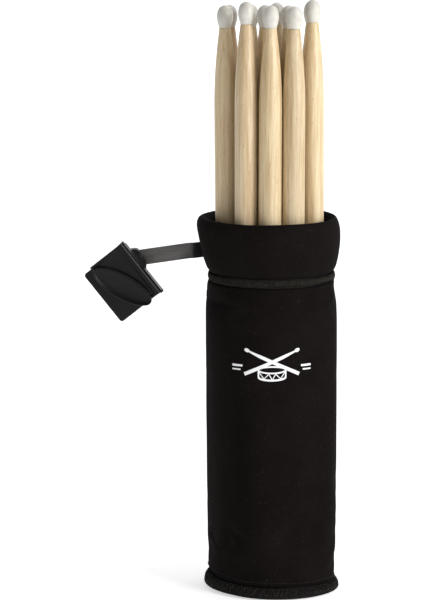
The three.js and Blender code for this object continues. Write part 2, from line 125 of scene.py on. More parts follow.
def place_floor():
    """A plain pale floor that reaches far behind the object, just under its foot."""
    half_side, drop = 8, 0.0002
    bm = bmesh.new()
    bmesh.ops.create_grid(bm, x_segments=1, y_segments=1, size=half_side)
    mesh = bpy.data.meshes.new("floor")
    bm.to_mesh(mesh)
    bm.free()
    floor = bpy.data.objects.new("floor", mesh)
    floor.location.z = -drop
    scene.collection.objects.link(floor)
    material = bpy.data.materials.new("floor")
    material.use_nodes = True
    shader = material.node_tree.nodes["Principled BSDF"]
    shader.inputs["Base Color"].default_value = (0.8, 0.8, 0.8, 1)
    shader.inputs["Roughness"].default_value = 0.9
    shader.inputs["Emission Color"].default_value = (1, 1, 1, 1)
    shader.inputs["Emission Strength"].default_value = 0.56
    mesh.materials.append(material)


# ---------------------------------------------------------------- materials
class Look:
    """A procedural material: a Principled shader with helpers for its node graph."""

    def __init__(self, name, **sockets):
        self.material = bpy.data.materials.new(name)
        self.material.use_nodes = True
        self.tree = self.material.node_tree
        self.shader = self.tree.nodes["Principled BSDF"]
        for socket, value in sockets.items():
            self.shader.inputs[socket.replace("_", " ")].default_value = value

    def node(self, kind, inputs=None, **settings):
        made = self.tree.nodes.new(kind)
        for key, value in settings.items():
            setattr(made, key, value)
        for key, value in (inputs or {}).items():
            if isinstance(value, bpy.types.NodeSocket):
                self.tree.links.new(value, made.inputs[key])
            else:
                made.inputs[key].default_value = value
        return made

    def math(self, operation, a, b=0.0, c=0.0):
        return self.node("ShaderNodeMath", {0: a, 1: b, 2: c}, operation=operation).outputs[0]

    def place(self):
        return self.node("ShaderNodeTexCoord").outputs["Object"]

    def stretched(self, scale, turn=(0, 0, 0)):
        mapping = self.node("ShaderNodeMapping", {"Vector": self.place(), "Scale": scale, "Rotation": turn})
        return mapping.outputs["Vector"]

    def round_axis(self, radius):
        """Coordinates on a tube round +Z: metres along its girth, metres up."""
        split = self.node("ShaderNodeSeparateXYZ", {"Vector": self.place()}).outputs
        angle = self.math("ARCTAN2", split["Y"], split["X"])
        return self.math("MULTIPLY", angle, radius), split["Z"]

    def noise(self, vector, scale, detail=4.0, roughness=0.55):
        made = self.node(
            "ShaderNodeTexNoise",
            {"Vector": vector, "Scale": scale, "Detail": detail, "Roughness": roughness},
        )
        return made.outputs["Fac"]

    def ramp(self, factor, *stops):
        made = self.node("ShaderNodeValToRGB", {"Fac": factor})
        elements = made.color_ramp.elements
        for element, (at, colour) in zip((elements[0], elements[1]), (stops[0], stops[-1])):
            element.position, element.color = at, colour
        for at, colour in stops[1:-1]:
            elements.new(at).color = colour
        return made.outputs["Color"]

    def range(self, factor, low, high, from_low=0.0, from_high=1.0):
        made = self.node("ShaderNodeMapRange", {"Value": factor, 1: from_low, 2: from_high, 3: low, 4: high})
        return made.outputs["Result"]

    def colour(self, output):
        self.tree.links.new(output, self.shader.inputs["Base Color"])

    def rough(self, output):
        self.tree.links.new(output, self.shader.inputs["Roughness"])

    def bump(self, height, distance, strength=1.0):
        previous = self.shader.inputs["Normal"].links
        inputs = {"Height": height, "Distance": distance, "Strength": strength}
        if previous:
            inputs["Normal"] = previous[0].from_socket
        made = self.node("ShaderNodeBump", inputs)
        self.tree.links.new(made.outputs["Normal"], self.shader.inputs["Normal"])


def rgb(r, g, b):
    return (r, g, b, 1)


def neoprene_look():
    """Nylon jersey laminated to foam rubber: tiny knit ribs, slight heather, a soft edge sheen."""
    look = Look("neoprene", Roughness=0.85, Sheen_Weight=0.012, Sheen_Roughness=0.4, Specular_IOR_Level=0.02)
    look.shader.inputs["Sheen Tint"].default_value = rgb(0.62, 0.54, 0.52)
    pouch_radius, wale_pitch, course_pitch = 0.0455, 0.00062, 0.00056
    along, up = look.round_axis(pouch_radius)
    wale = look.math("SINE", look.math("MULTIPLY", along, 2 * math.pi / wale_pitch))
    course = look.math("SINE", look.math("MULTIPLY", up, 2 * math.pi / course_pitch))
    knit = look.math("MULTIPLY", wale, course)
    fuzz = look.noise(look.place(), 1900, 3)
    cloud = look.noise(look.place(), 38, 5)
    dust = look.noise(look.place(), 620, 2, 0.7)
    base = look.ramp(cloud, (0.3, rgb(0.0056, 0.0041, 0.0041)), (0.7, rgb(0.0084, 0.0064, 0.0064)))
    flecks = look.ramp(dust, (0.63, rgb(0, 0, 0)), (0.78, rgb(0.017, 0.0148, 0.0148)))
    mixed = look.node("ShaderNodeMix", {0: 1.0, 6: base, 7: flecks}, data_type="RGBA", blend_type="ADD")
    look.colour(mixed.outputs[2])
    look.rough(look.range(cloud, 0.78, 0.95))
    look.bump(knit, 0.00006, 0.5)
    look.bump(fuzz, 0.00008, 0.5)
    look.bump(look.noise(look.place(), 140, 3), 0.0004, 0.35)
    return look.material


def binding_look(name, dark, pale, fleck):
    """Brushed woven tape: short fibres catch the light as pale specks."""
    look = Look(name, Roughness=0.95, Sheen_Weight=0.05, Sheen_Roughness=0.5, Specular_IOR_Level=0.1)
    look.shader.inputs["Sheen Tint"].default_value = rgb(0.8, 0.77, 0.7)
    cloud = look.noise(look.place(), 260, 5, 0.7)
    specks = look.noise(look.place(), 1100, 3, 0.8)
    base = look.ramp(cloud, (0.32, dark), (0.68, pale))
    light = look.ramp(specks, (0.6, rgb(0, 0, 0)), (0.72, fleck))
    mixed = look.node("ShaderNodeMix", {0: 1.0, 6: base, 7: light}, data_type="RGBA", blend_type="ADD")
    look.colour(mixed.outputs[2])
    look.bump(specks, 0.0005, 0.9)
    return look.material


def thread_look(name, dark, pale):
    """Spun thread with a visible ply."""
    look = Look(name, Roughness=0.75, Sheen_Weight=0.05, Specular_IOR_Level=0.15)
    ply = look.noise(look.place(), 900, 3)
    look.colour(look.ramp(ply, (0.35, dark), (0.65, pale)))
    look.bump(ply, 0.0002, 0.6)
    return look.material


def plastic_look(name, colour, roughness, grain):
    """Satin moulding with a fine spark-eroded grain and faint flow marks."""
    look = Look(name, Specular_IOR_Level=0.17)
    flow = look.noise(look.stretched((1, 1, 0.25)), 60, 4)
    dark = [channel * 0.8 for channel in colour]
    pale = [channel * 1.35 for channel in colour]
    look.colour(look.ramp(flow, (0.35, rgb(*dark)), (0.7, rgb(*pale))))
    look.rough(look.range(look.noise(look.place(), 420, 4, 0.7), roughness - 0.07, roughness + 0.1))
    look.bump(look.noise(look.place(), 2600, 2), grain, 0.6)
    return look.material


def strip_look():
    """Dark oxide steel strip, brushed lengthwise, with a few rub marks along it."""
    look = Look("strip_steel", Metallic=0.82)
    lines = look.noise(look.stretched((30, 60, 2600), (0, math.radians(-8.3), 0)), 1, 5, 0.75)
    rubs = look.noise(look.place(), 90, 4)
    look.colour(look.ramp(lines, (0.3, rgb(0.07, 0.066, 0.064)), (0.7, rgb(0.16, 0.152, 0.148))))
    look.rough(look.range(rubs, 0.34, 0.55))
    look.bump(lines, 0.00012, 0.5)
    return look.material


def bright_steel_look():
    """Plated steel, turned: fine rings and a slightly cloudy shine."""
    look = Look("bright_steel", Metallic=1.0)
    lathe = look.noise(look.stretched((900, 60, 900)), 1, 4, 0.7)
    cloud = look.noise(look.place(), 300, 3)
    look.colour(look.ramp(cloud, (0.3, rgb(0.43, 0.43, 0.44)), (0.7, rgb(0.62, 0.62, 0.63))))
    look.rough(look.range(lathe, 0.2, 0.42))
    look.bump(lathe, 0.00005, 0.4)
    return look.material


def rubber_look():
    """Black grip rubber, dull and a little uneven."""
    look = Look("pad_rubber", Roughness=0.82, Specular_IOR_Level=0.35)
    cloud = look.noise(look.place(), 500, 4)
    look.colour(look.ramp(cloud, (0.3, rgb(0.007, 0.007, 0.007)), (0.7, rgb(0.014, 0.014, 0.0135))))
    look.bump(cloud, 0.0002, 0.5)
    return look.material


def wood_look(index):
    """Clear-lacquered maple: long pale grain, faint growth bands, small dark flecks."""
    rng = random.Random(100 + index)
    look = Look(f"maple_{index:02d}", Coat_Weight=0.3, Coat_Roughness=0.32, Specular_IOR_Level=0.5)
    shift = Vector((rng.uniform(-1, 1), rng.uniform(-1, 1), rng.uniform(-1, 1)))
    placed = look.node("ShaderNodeVectorMath", {0: look.place(), 1: shift}, operation="ADD").outputs[0]
    grained = look.node("ShaderNodeMapping", {"Vector": placed, "Scale": (1, 1, 0.045)}).outputs["Vector"]
    flecked = look.node("ShaderNodeMapping", {"Vector": placed, "Scale": (1, 1, 0.11)}).outputs["Vector"]
    streaks = look.noise(grained, 560, 6, 0.62)
    bands = look.noise(grained, 120, 3, 0.5)
    flecks = look.noise(flecked, 1500, 2, 0.5)
    warm = rng.uniform(0.88, 1.07)
    gold = rng.uniform(0.9, 1.04)
    base = look.ramp(
        bands,
        (0.3, rgb(0.56 * warm, 0.41 * warm, 0.235 * warm * gold)),
        (0.5, rgb(0.69 * warm, 0.56 * warm, 0.38 * warm * gold)),
        (0.72, rgb(0.65 * warm, 0.505 * warm, 0.315 * warm * gold)),
    )
    grain = look.ramp(streaks, (0.3, rgb(0.74, 0.66, 0.55)), (0.62, rgb(1, 1, 1)))
    pores = look.ramp(flecks, (0.28, rgb(0.66, 0.56, 0.45)), (0.36, rgb(1, 1, 1)))
    one = look.node("ShaderNodeMix", {0: 1.0, 6: base, 7: grain}, data_type="RGBA", blend_type="MULTIPLY")
    two = look.node(
        "ShaderNodeMix", {0: 0.8, 6: one.outputs[2], 7: pores}, data_type="RGBA", blend_type="MULTIPLY")
    look.colour(two.outputs[2])
    look.rough(look.range(streaks, 0.42, 0.6))
    look.bump(streaks, 0.0001, 0.35)
    return look.material


def nylon_look():
    """Natural nylon: milky, slightly see-through, with soft mould marks."""
    look = Look(
        "nylon", Subsurface_Weight=0.3, Subsurface_Scale=0.0015, Roughness=0.32, Coat_Weight=0.1, IOR=1.45
    )
    look.shader.inputs["Subsurface Radius"].default_value = (1.0, 0.9, 0.7)
    cloud = look.noise(look.place(), 240, 4)
    look.colour(look.ramp(cloud, (0.3, rgb(0.55, 0.53, 0.48)), (0.7, rgb(0.65, 0.63, 0.58))))
    look.rough(look.range(cloud, 0.24, 0.4))
    look.bump(look.noise(look.place(), 900, 2), 0.00005, 0.4)
    return look.material


def ink_look():
    """Screen-printed white ink, slightly broken by the knit under it."""
    look = Look("print_ink", Specular_IOR_Level=0.3)
    wear = look.noise(look.place(), 900, 4, 0.7)
    look.colour(look.ramp(wear, (0.25, rgb(0.6, 0.6, 0.6)), (0.45, rgb(0.86, 0.86, 0.86))))
    look.rough(look.range(wear, 0.5, 0.75))
    look.bump(wear, 0.00008, 0.5)
    return look.material


LOOKS = {
    "neoprene": neoprene_look(),
    "binding_tape": binding_look(
        "binding_tape", rgb(0.0095, 0.0085, 0.007), rgb(0.026, 0.0235, 0.0195), rgb(0.11, 0.1, 0.085)
    ),
    "base_tape": binding_look(
        "base_tape", rgb(0.0032, 0.0028, 0.0026), rgb(0.0085, 0.0075, 0.007), rgb(0.07, 0.062, 0.054)
    ),
    "thread": thread_look("thread", rgb(0.004, 0.0036, 0.0034), rgb(0.014, 0.0125, 0.0115)),
    # A paler copy of the black thread: its colour is painted highlight, light caught on the thread.
    "painted_lit_thread": thread_look("painted_lit_thread", rgb(0.011, 0.01, 0.009), rgb(0.036, 0.033, 0.029)),
    "liner_plastic": plastic_look("liner_plastic", (0.007, 0.007, 0.007), 0.5, 0.00005),
    "clamp_plastic": plastic_look("clamp_plastic", (0.0045, 0.0043, 0.0041), 0.3, 0.00003),
    "strip_steel": strip_look(),
    "bright_steel": bright_steel_look(),
    "pad_rubber": rubber_look(),
    "nylon": nylon_look(),
    "print_ink": ink_look(),
}


# ---------------------------------------------------------------- meshes
EDGE_ANGLE = 32  # degrees: a sharper edge than this is rounded over


def add_mesh(name, verts, faces, look, body, smooth=True):
    """A piece from its points, in metres, and its faces."""
    mesh = bpy.data.meshes.new(name)
    mesh.from_pydata([tuple(v) for v in verts], [], faces)
    mesh.validate()
    return add_object(name, mesh, look, body, smooth)


def add_object(name, mesh, look, body, smooth=True):
    """A piece from a mesh: its material and the body that it rides on."""
    mesh.materials.clear()
    mesh.materials.append(look)
    mesh.polygons.foreach_set("use_smooth", [smooth] * len(mesh.polygons))
    piece = bpy.data.objects.new(name, mesh)
    scene.collection.objects.link(piece)
    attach(piece, body)
    return piece


def bake_modifiers(piece):
    """Turns a piece's modifiers into plain mesh."""
    graph = bpy.context.evaluated_depsgraph_get()
    mesh = bpy.data.meshes.new_from_object(piece.evaluated_get(graph))
    piece.modifiers.clear()
    piece.data = mesh


def grid_faces(rows, columns, close_rows=False, close_columns=True):
    """Quads over a grid of points listed row by row."""
    faces = []
    for i in range(rows if close_rows else rows - 1):
        for j in range(columns if close_columns else columns - 1):
            k, m = (i + 1) % rows, (j + 1) % columns
            faces.append((i * columns + j, i * columns + m, k * columns + m, k * columns + j))
    return faces


def smoothstep(low, high, value):
    t = min(1, max(0, (value - low) / (high - low)))
    return t * t * (3 - 2 * t)


def curve_through(points, per_span):
    """A smooth run of points through the given ones, open ended."""
    padded = [points[0], *points, points[-1]]
    run = []
    for a, b, c, d in zip(padded, padded[1:], padded[2:], padded[3:]):
        for step in range(per_span):
            t = step / per_span
            run.append(
                0.5 * ((2 * b) + (c - a) * t + (2 * a - 5 * b + 4 * c - d) * t * t
                       + (3 * b - a - 3 * c + d) * t ** 3)
            )
    run.append(points[-1])
    return run


def refined(node, body, look, bevel, segments=2):
    """A CAD node's own shape with its edges rounded over by bevel mm, shown in the node's place."""
    bm = bmesh.new()
    bm.from_mesh(nodes[node].data)
    bmesh.ops.remove_doubles(bm, verts=bm.verts, dist=1e-6)
    bmesh.ops.dissolve_limit(bm, angle_limit=math.radians(2), verts=bm.verts, edges=bm.edges)
    mesh = bpy.data.meshes.new(f"{node}_fine")
    bm.to_mesh(mesh)
    bm.free()
    piece = add_object(f"{node}_fine", mesh, LOOKS[look], body)
    rounding = piece.modifiers.new("bevel", "BEVEL")
    rounding.width = bevel * MM
    rounding.segments = segments
    rounding.limit_method = "ANGLE"
    rounding.angle_limit = math.radians(EDGE_ANGLE)
    rounding.harden_normals = True
    bake_modifiers(piece)
    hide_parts(node)


place_camera()
place_lights()
place_world()
place_floor()


# ---------------------------------------------------------------- sticks
# All in mm, along a stick from its foot.
SHAFT_RADIUS = 7.95
TIP_LENGTH = 15.8
TENON_RADIUS, TENON_LENGTH = 2.4, 9
BORE_RADIUS = 2.7
TIP_GAP = 0.12  # between the wood's shoulder and the nylon


def spun(name, profile, steps, foot, turn, look, body):
    """A turned piece about its own axis from (radius, height) points in mm, closed at both ends."""
    verts = []
    for radius, height in profile[1:-1]:
        for j in range(steps):
            angle = 2 * math.pi * j / steps
            verts.append(Vector((radius * math.cos(angle), radius * math.sin(angle), height)) * MM)
    faces = grid_faces(len(profile) - 2, steps)
    low, high = len(verts), len(verts) + 1
    verts += [Vector((0, 0, profile[0][1])) * MM, Vector((0, 0, profile[-1][1])) * MM]
    last = (len(profile) - 3) * steps
    for j in range(steps):
        faces.append((low, (j + 1) % steps, j))
        faces.append((high, last + j, last + (j + 1) % steps))
    return add_mesh(name, [foot + turn @ v for v in verts], faces, look, body)


def smooth_profile(points, per_span):
    """A turned outline, (radius, height), rounded through the given points."""
    run = curve_through([Vector((r, h)) for r, h in points], per_span)
    return [(max(0.0, p.x), p.y) for p in run]


def make_stick(index):
    """One stick on its CAD axis: a turned wooden shaft with a tenon, and the nylon tip over it."""
    body = f"stick_{index:02d}"
    shaft_node, tip_node = f"{body}_shaft", f"{body}_tip"
    axis = Vector(joints[f"{body}_lift"]["axis"]).normalized()
    turn = axis.to_track_quat("Z", "Y").to_matrix()
    heights = [v.co.dot(axis) for v in nodes[shaft_node].data.vertices]
    butt = [v.co for v in nodes[shaft_node].data.vertices if v.co.dot(axis) < min(heights) + 1e-5]
    foot = sum((co.copy() for co in butt), Vector()) / len(butt)
    top = max(v.co.dot(axis) for v in nodes[tip_node].data.vertices)
    length = (top - foot.dot(axis)) / MM
    seat = length - TIP_LENGTH
    shaft = [(0, 0), (3.2, 0.15)]
    shaft += smooth_profile([(4.6, 0.35), (6.3, 1.1), (7.4, 2.5), (SHAFT_RADIUS, 5.2)], 3)
    shaft += [(SHAFT_RADIUS, length * part) for part in (0.1, 0.2, 0.3, 0.4, 0.5, 0.6, 0.7)]
    shaft += smooth_profile(
        [(SHAFT_RADIUS, length - 78), (7.9, length - 66), (7.45, length - 53), (6.6, length - 40),
         (5.45, length - 28), (4.5, length - 19.8), (4.02, seat)], 6)
    shaft += [(TENON_RADIUS, seat), (TENON_RADIUS, seat + TENON_LENGTH), (0, seat + TENON_LENGTH)]
    wood = spun(f"{body}_wood", shaft, 40, foot, turn, wood_look(index), body)
    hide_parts(shaft_node)
    outside = smooth_profile(
        [(4.05, seat + TIP_GAP), (4.4, seat + 1.5), (5.15, seat + 4.0), (5.65, seat + 7.0), (5.6, seat + 9.2),
         (5.0, seat + 11.8), (3.9, seat + 13.9), (2.5, seat + 15.1), (1.1, seat + 15.7)], 4)
    bore_top = seat + TENON_LENGTH + 0.3
    tip = [(0, bore_top), (BORE_RADIUS, bore_top), (BORE_RADIUS, seat + TIP_GAP)] + outside + [(0, length)]
    nylon = spun(f"{body}_nylon", tip, 32, foot, turn, LOOKS["nylon"], body)
    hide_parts(tip_node)


for stick_index in range(1, 12):
    make_stick(stick_index)


# ---------------------------------------------------------------- clamp and arm
MOULD_VOXEL = 0.3  # mm
MOULD_SOFTNESS = 3
MOULD_KEEP = 0.36  # share of the faces that is kept


def moulded(node, body):
    """A CAD node's shape as a plastic moulding: every edge and inside corner softly rounded."""
    mesh = nodes[node].data.copy()
    piece = add_object(f"{node}_moulded", mesh, LOOKS["clamp_plastic"], body)
    remesh = piece.modifiers.new("remesh", "REMESH")
    remesh.mode = "VOXEL"
    remesh.voxel_size = MOULD_VOXEL * MM
    remesh.use_smooth_shade = True
    smooth = piece.modifiers.new("smooth", "SMOOTH")
    smooth.factor = 0.5
    smooth.iterations = MOULD_SOFTNESS
    thin = piece.modifiers.new("thin", "DECIMATE")
    thin.ratio = MOULD_KEEP
    bake_modifiers(piece)
    piece.data.polygons.foreach_set("use_smooth", [True] * len(piece.data.polygons))
    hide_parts(node)


moulded("rear_jaw", "clamp_rear")
moulded("front_jaw", "clamp_front")
refined("rear_jaw_pad", "clamp_rear", "pad_rubber", 0.25)
refined("front_jaw_pad", "clamp_front", "pad_rubber", 0.25)
refined("hinge_pin", "clamp_rear", "bright_steel", 0.3)
refined("pin_cap_1", "clamp_rear", "bright_steel", 0.35, 3)
refined("pin_cap_2", "clamp_rear", "bright_steel", 0.35, 3)
refined("swivel_screw", "clamp_rear", "bright_steel", 0.3, 3)
refined("spring_washer", "clamp_rear", "bright_steel", 0.08)
refined("flat_washer", "bag", "bright_steel", 0.15)
refined("arm_strip", "bag", "strip_steel", 0.28, 3)
refined("hoop_rivet_1", "bag", "strip_steel", 0.4, 3)
refined("hoop_rivet_2", "bag", "strip_steel", 0.4, 3)


def make_spring():
    """The spring's wire: the CAD spring's shape in bright steel, fixed where it lies."""
    mesh = nodes["torsion_spring"].data.copy()
    mesh.materials.clear()
    mesh.materials.append(LOOKS["bright_steel"])
    mesh.polygons.foreach_set("use_smooth", [True] * len(mesh.polygons))
    wire = bpy.data.objects.new("spring_wire", mesh)
    scene.collection.objects.link(wire)
    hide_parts("torsion_spring")
    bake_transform(wire)


make_spring()


for node, look_name in (
    ("collar_hoop", "strip_steel"),
    ("liner_tube", "liner_plastic"),
    ("liner_floor", "liner_plastic"),
    ("base_pad", "neoprene"),
):
    nodes[node].data.materials.clear()
    nodes[node].data.materials.append(LOOKS[look_name])


# ---------------------------------------------------------------- soft goods
GIRTH_STEPS = 72
CORNER = math.radians(161)  # direction of one of the pouch's four soft corners
SLEEVE_WALL = 2.1
SLEEVE_ROWS = 66
CLOTH_FRAMES = 18


def blend_heights(table, height):
    """A smooth value from (height, value) pairs, heights rising."""
    for (low, a), (high, b) in zip(table, table[1:]):
        if height <= high:
            return a + (b - a) * smoothstep(low, high, height)
    return table[-1][1]


# Half the pouch's width, and where its middle lies, at some heights: (height, mm).
POUCH_HALF_WIDTHS = [
    (9, 44.6), (19, 45.0), (34, 45.5), (62, 45.75), (91, 45.95), (134, 46.15), (191, 46.25), (203, 46.1),
    (211, 45.25), (216, 44.5), (221, 44.6),
]
POUCH_MIDDLES = [
    (9, 0.3), (19, 0.4), (34, 0.45), (62, 0.4), (91, 0.35), (134, 0.1), (162, 0), (191, -0.05), (203, -0.3),
    (211, -0.6), (216, -0.8), (221, 0),
]


def sleeve_radius(angle, height):
    """Outside of the pouch, mm: nearly square low down, round under the collar."""
    mean = blend_heights(
        [(9, 44.2), (30, 43.9), (70, 44.1), (150, 44.9), (198, 45.3), (212, 44.7), (221, 44.1)], height)
    square = blend_heights([(9, 1.2), (40, 2.3), (130, 2.2), (205, 0.8), (221, 0.1)], height)
    turn = angle - CORNER
    shape = math.cos(4 * turn) + 0.24 * math.cos(8 * turn)
    slow = noise.noise(Vector((math.cos(angle) * 1.4, math.sin(angle) * 1.4, height / 46)))
    return mean + square * shape + 0.45 * slow


FOOT_TOP = 8.3  # mm, the top of the bound edge round the foot


def foot_shift(angle, height):
    """How far the pouch's foot rises or sags, mm: it sits low and full on the side away from the clamp."""
    far_side = (1 + math.cos(angle)) / 2
    lift = 1.1 * (1 - far_side) ** 1.5
    sag = 2.9 * far_side * min(1, height / FOOT_TOP)
    return (lift - sag) * (1 - smoothstep(10, 48, height))


def foot_bulge(angle):
    """How far the foot swells outwards round its front, mm."""
    turn = (angle - math.radians(-62) + math.pi) % (2 * math.pi) - math.pi
    return 3.8 * math.exp(-((turn / math.radians(55)) ** 4))


def settle(piece, pinned, pressure, slack, cap):
    """Runs cloth on a piece, limits how far each point moved (mm) and keeps the result."""
    group = piece.vertex_groups.new(name="pinned")
    for index, weight in pinned:
        group.add([index], weight, "REPLACE")
    before = [v.co.copy() for v in piece.data.vertices]
    cloth = piece.modifiers.new("cloth", "CLOTH")
    cloth.settings.quality = 7
    cloth.settings.mass = 0.25
    cloth.settings.tension_stiffness = 22
    cloth.settings.compression_stiffness = 22
    cloth.settings.shear_stiffness = 10
    cloth.settings.bending_stiffness = 2.2
    cloth.settings.use_pressure = True
    cloth.settings.uniform_pressure_force = pressure
    cloth.settings.shrink_min = -slack
    cloth.settings.vertex_group_mass = "pinned"
    cloth.settings.effector_weights.gravity = 0
    cloth.point_cache.frame_end = CLOTH_FRAMES
    for frame_number in range(1, CLOTH_FRAMES + 1):
        scene.frame_set(frame_number)
    bake_modifiers(piece)
    piece.vertex_groups.clear()
    for vertex, start in zip(piece.data.vertices, before):
        moved = vertex.co - start
        reach = moved.length
        if reach > cap * MM:
            vertex.co = start + moved * (cap * MM / reach)


def subdivide(piece):
    """Rounds a piece off with one level of subdivision."""
    piece.modifiers.new("fine", "SUBSURF").levels = 1
    bake_modifiers(piece)
    piece.data.polygons.foreach_set("use_smooth", [True] * len(piece.data.polygons))


def fit_rows(wall, heights):
    """Gives each ring of the settled pouch its width and its middle, seen from the front."""
    for row, height in enumerate(heights):
        ring = wall[row * GIRTH_STEPS:(row + 1) * GIRTH_STEPS]
        left, right = min(co.x for co in ring), max(co.x for co in ring)
        scale = blend_heights(POUCH_HALF_WIDTHS, height) * MM / ((right - left) / 2)
        middle = blend_heights(POUCH_MIDDLES, height) * MM
        for co in ring:
            co.x = middle + (co.x - (left + right) / 2) * scale
            co.y *= scale


def make_sleeve():
    """The padded neoprene pouch wall, settled as cloth and then given its thickness."""
    low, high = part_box("neoprene_sleeve")
    bottom, top = low.z / MM - 0.5, high.z / MM - 0.1
    rows = SLEEVE_ROWS
    heights = [bottom + (top - bottom) * i / (rows - 1) for i in range(rows)]
    angles = [2 * math.pi * j / GIRTH_STEPS for j in range(GIRTH_STEPS)]
    points = []
    for height in heights:
        for angle in angles:
            radius = sleeve_radius(angle, height)
            radius += 0.6 * foot_bulge(angle) * (1 - smoothstep(10, 30, height))
            level = height + foot_shift(angle, height)
            points.append(Vector((radius * math.cos(angle), radius * math.sin(angle), level)) * MM)
    faces = grid_faces(rows, GIRTH_STEPS)
    sheet = add_mesh("pouch_wall", points, faces, LOOKS["neoprene"], "bag")
    pins = [(i * GIRTH_STEPS + j, 1.0) for i in (0, 1, rows - 2, rows - 1) for j in range(GIRTH_STEPS)]
    settle(sheet, pins, 1.6, 0.02, 1.3)
    wall = [v.co.copy() for v in sheet.data.vertices]
    fit_rows(wall, heights)
    inner_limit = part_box("liner_tube")[1].x + 0.12 * MM
    inside = []
    for co in wall:
        radius = math.hypot(co.x, co.y)
        inner = max(inner_limit, radius - SLEEVE_WALL * MM)
        inside.append(Vector((co.x * inner / radius, co.y * inner / radius, co.z)))
    count = len(wall)
    faces += [tuple(count + k for k in reversed(f)) for f in faces]
    for j in range(GIRTH_STEPS):
        k = (j + 1) % GIRTH_STEPS
        faces.append((k, j, count + j, count + k))
        end = (rows - 1) * GIRTH_STEPS
        faces.append((end + j, end + k, count + end + k, count + end + j))
    mesh = bpy.data.meshes.new("pouch_wall")
    mesh.from_pydata([tuple(v) for v in wall + inside], [], faces)
    mesh.materials.append(LOOKS["neoprene"])
    sheet.data = mesh
    subdivide(sheet)
    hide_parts("neoprene_sleeve")
    return sheet


# Collar outline: outer wall from its bound edge up, round the rim and down the inner wall.
# Each row is height, mean radius and how far its middle lies towards the clamp's side, mm.
COLLAR_ROWS = [
    (226.4, 42.9, 0.2), (227.0, 43.5, 0.2), (229.2, 44.5, 0.2), (232.2, 45.5, 0.3), (236.2, 46.8, 0.6),
    (240.4, 47.6, 0.8), (245.0, 48.3, 1.0), (249.2, 48.9, 1.4), (253.4, 49.3, 1.8), (257.4, 49.5, 2.3),
    (260.8, 49.1, 2.7), (263.2, 48.2, 2.8), (264.8, 47.0, 2.6), (265.4, 45.6, 2.0), (264.9, 44.0, 1.3),
    (263.5, 42.8, 0.7), (261.3, 42.1, 0.3), (258.4, 41.8, 0.0), (254.0, 41.6, 0.0), (250.0, 41.6, 0.0),
    (246.5, 41.6, 0.0), (246.2, 43.0, 0.0), (240.0, 43.0, 0.0), (233.0, 43.0, 0.0), (227.2, 42.9, 0.0),
]
RIM_ROW = 10  # where the outside reaches the rim
INSIDE_ROW = 17  # where the inside wall begins


def make_collar():
    """The padded collar: a closed fold of neoprene, settled as cloth, with room cut for the arm."""
    steps = 84
    rows = len(COLLAR_ROWS)
    points = []
    for row, (height, radius, lean) in enumerate(COLLAR_ROWS):
        for j in range(steps):
            angle = 2 * math.pi * j / steps
            around = Vector((math.cos(angle), math.sin(angle), 0))
            sway = rise = 0
            if row < INSIDE_ROW:
                sway = 0.55 * noise.noise(Vector((around.x * 1.6, around.y * 1.6, height / 22 + 7)))
            if RIM_ROW <= row < INSIDE_ROW:
                rise = 0.7 * noise.noise(Vector((around.x * 1.1, around.y * 1.1, 3.3)))
            co = around * (radius + sway)
            points.append(Vector((co.x - lean, co.y, height + rise)) * MM)
    faces = grid_faces(rows, steps, close_rows=True)
    collar = add_mesh("pouch_collar", points, faces, LOOKS["neoprene"], "bag")
    pins = [(row * steps + j, 1.0) for row in [0, 1, *range(INSIDE_ROW - 1, rows)] for j in range(steps)]
    settle(collar, pins, 2.2, 0.03, 0.9)
    subdivide(collar)
    for cutter_node in ("arm_strip", "hoop_rivet_1", "hoop_rivet_2"):
        cut_room(collar, cutter_node, 0.35)
    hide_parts("collar")


def cut_room(piece, node, air):
    """Cuts a pocket for a CAD node out of a piece, with some air round it (mm)."""
    bm = bmesh.new()
    bm.from_mesh(nodes[node].data)
    bmesh.ops.remove_doubles(bm, verts=bm.verts, dist=1e-6)
    bmesh.ops.dissolve_limit(bm, angle_limit=math.radians(1), verts=bm.verts, edges=bm.edges)
    bm.normal_update()
    shifts = {}
    for vertex in bm.verts:
        normals = []
        for face in vertex.link_faces:
            if all(face.normal.dot(n) < 0.7 for n in normals):
                normals.append(face.normal.copy())
        shifts[vertex] = sum(normals, Vector()) * (air * MM)
    for vertex, shift in shifts.items():
        vertex.co += shift
    mesh = bpy.data.meshes.new("cutter")
    bm.to_mesh(mesh)
    bm.free()
    cutter = bpy.data.objects.new("cutter", mesh)
    scene.collection.objects.link(cutter)
    cut = piece.modifiers.new("cut", "BOOLEAN")
    cut.operation = "DIFFERENCE"
    cut.solver = "EXACT"
    cut.object = cutter
    bake_modifiers(piece)
    bpy.data.objects.remove(cutter)


def make_roll(name, rows, steps, lumps, look, node, place=None):
    """A bound edge: a closed roll round the pouch from (height, radius) rows, a little uneven."""
    points = []
    for height, radius in rows:
        for j in range(steps):
            angle = 2 * math.pi * j / steps
            around = Vector((math.cos(angle), math.sin(angle), 0))
            wobble = lumps * noise.noise(Vector((around.x * 5, around.y * 5, height / 9)))
            if place:
                reach, level = place(angle, radius, height)
            else:
                drift = lumps * 0.8 * noise.noise(Vector((around.x * 1.5, around.y * 1.5, 2.2)))
                reach, level = radius, height + drift
            points.append((around * (reach + wobble) + Vector((0, 0, level))) * MM)
    faces = grid_faces(len(rows), steps, close_rows=True)
    roll = add_mesh(name, points, faces, LOOKS[look], "bag")
    subdivide(roll)
    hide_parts(node)


